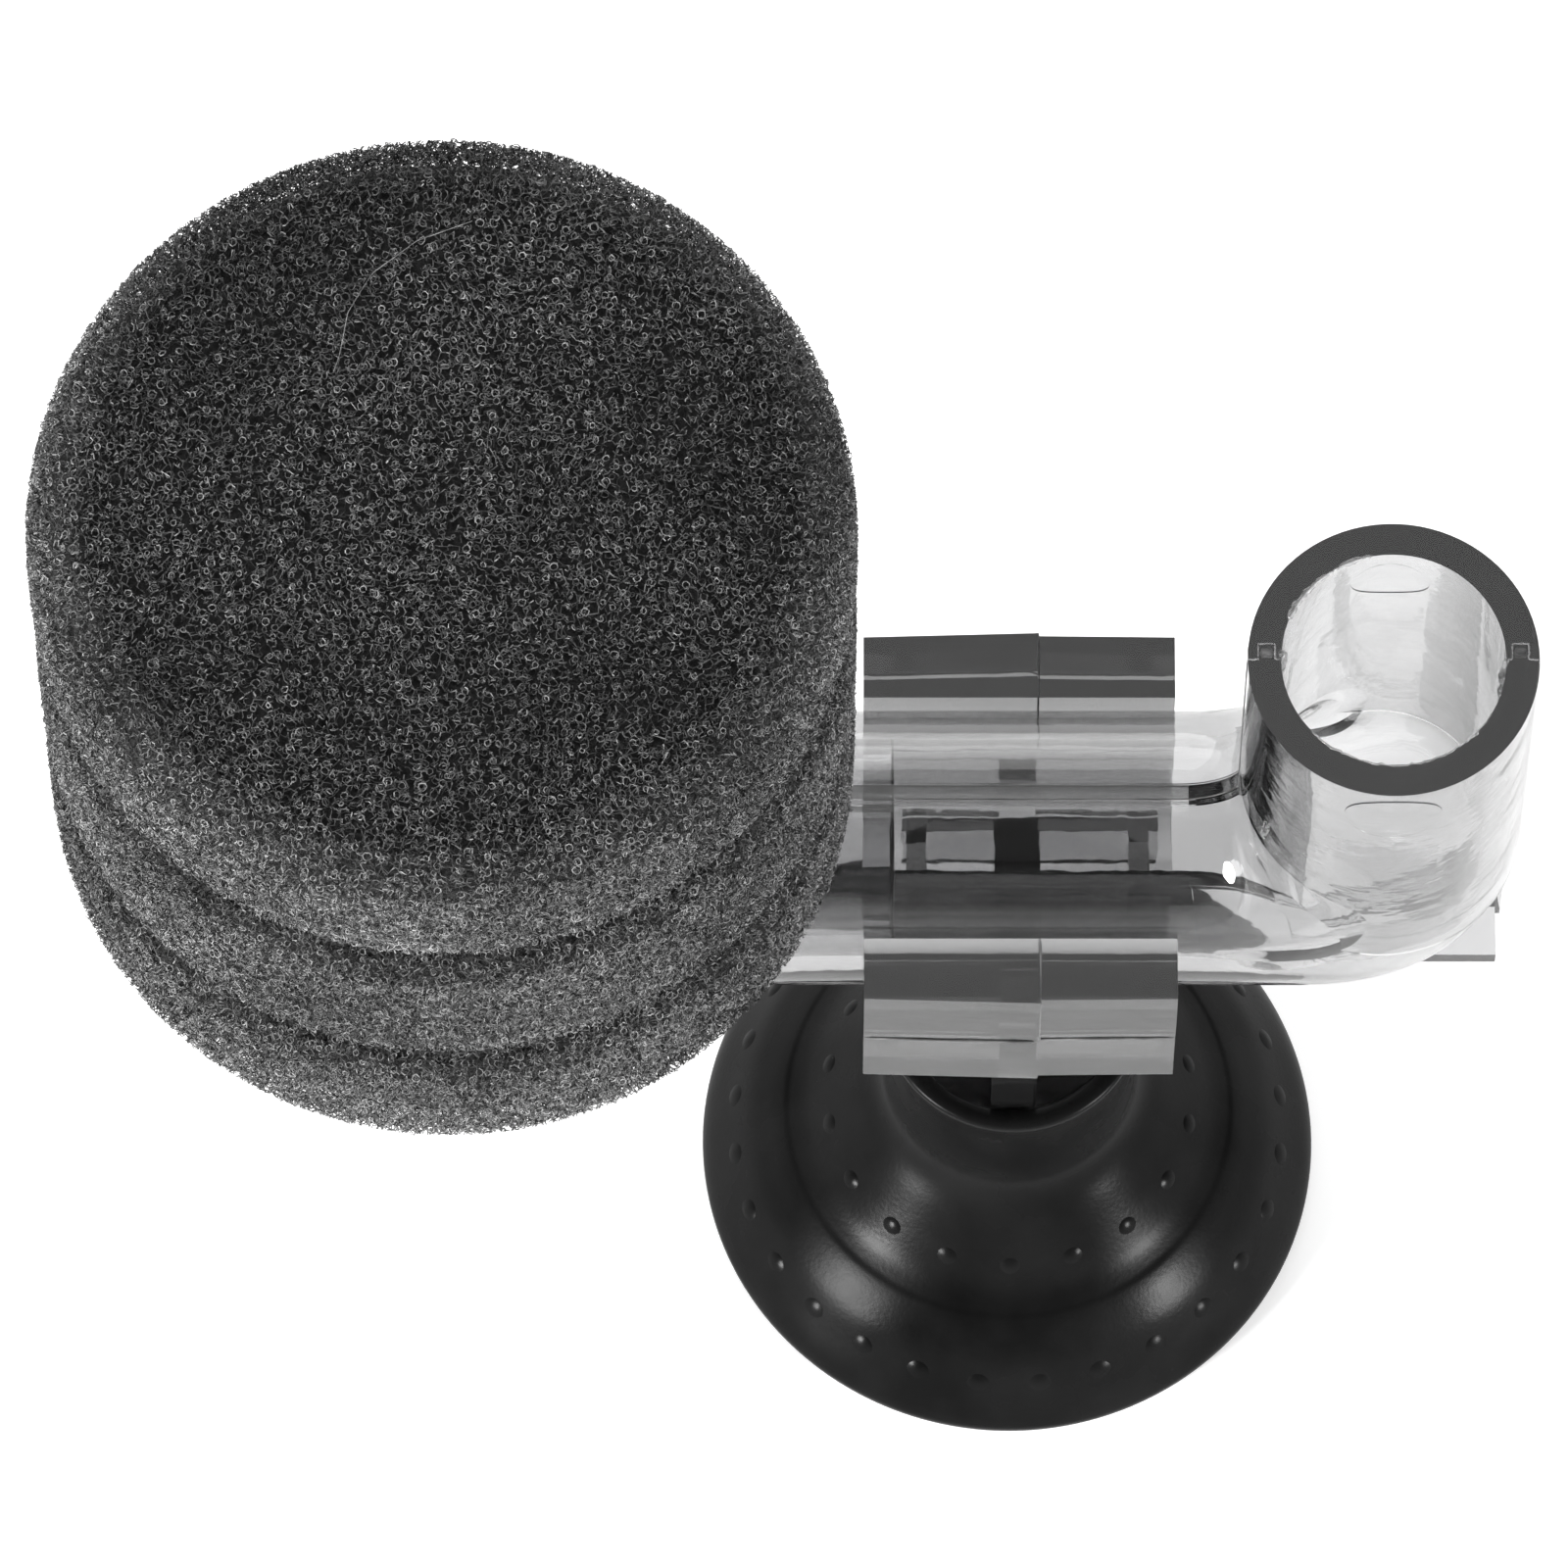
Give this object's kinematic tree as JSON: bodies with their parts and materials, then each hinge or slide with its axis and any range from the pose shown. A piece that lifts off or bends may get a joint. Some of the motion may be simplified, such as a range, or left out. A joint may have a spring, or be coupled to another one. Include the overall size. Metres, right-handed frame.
{
  "type": "sponge filter",
  "caption": "Air-driven aquarium sponge filter: grooved foam cylinder on an elbowed clear lift tube, held by a clip on a rubber suction cup.",
  "frame": {"origin": "centre of the suction cup's rim, on the glass", "axes": "+Z away from the glass, along the outlet mouth and the sponge; +X along the lift tube from the sponge to the outlet; +Y across"},
  "size_m": [0.1103, 0.06, 0.1366],
  "materials": {
    "smoky_clear": "clear smoky moulded plastic, polished",
    "clip_clear": "clear smoky moulded plastic, satin edges",
    "core_plastic": "black moulded plastic",
    "foam": "open-cell reticulated foam, matt",
    "cup_rubber": "black soft rubber, satin"
  },
  "bodies": {
    "cup": {"suction_cup": "cup_rubber"},
    "clip": {"tube_clip": "clip_clear"},
    "lift_tube": {"lift_tube_upper_shell": "smoky_clear", "lift_tube_lower_shell": "smoky_clear"},
    "intake": {"intake_elbow_upper_shell": "smoky_clear", "intake_elbow_lower_shell": "smoky_clear", "air_nipple": "smoky_clear", "air_jet_tube": "smoky_clear", "strainer_core": "core_plastic", "strainer_end_cap": "core_plastic"},
    "sponge": {"foam_sponge": "foam"}
  },
  "joints": [
    {"name": "cup_swivel", "type": "hinge", "parent": "cup", "child": "clip", "pos_m": [0, 0, 0.03], "axis": [0, 0, 1], "continuous": true},
    {"name": "tube_turn", "type": "hinge", "parent": "clip", "child": "lift_tube", "pos_m": [0, 0, 0.067], "axis": [1, 0, 0], "range_deg": [-60, 60]},
    {"name": "intake_turn", "type": "hinge", "parent": "lift_tube", "child": "intake", "pos_m": [-0.0265, 0, 0.067], "axis": [1, 0, 0], "range_deg": [-60, 60]},
    {"name": "sponge_pull", "type": "slide", "parent": "intake", "child": "sponge", "axis": [0, 0, 1], "range_m": [0, 0.05]}
  ]
}
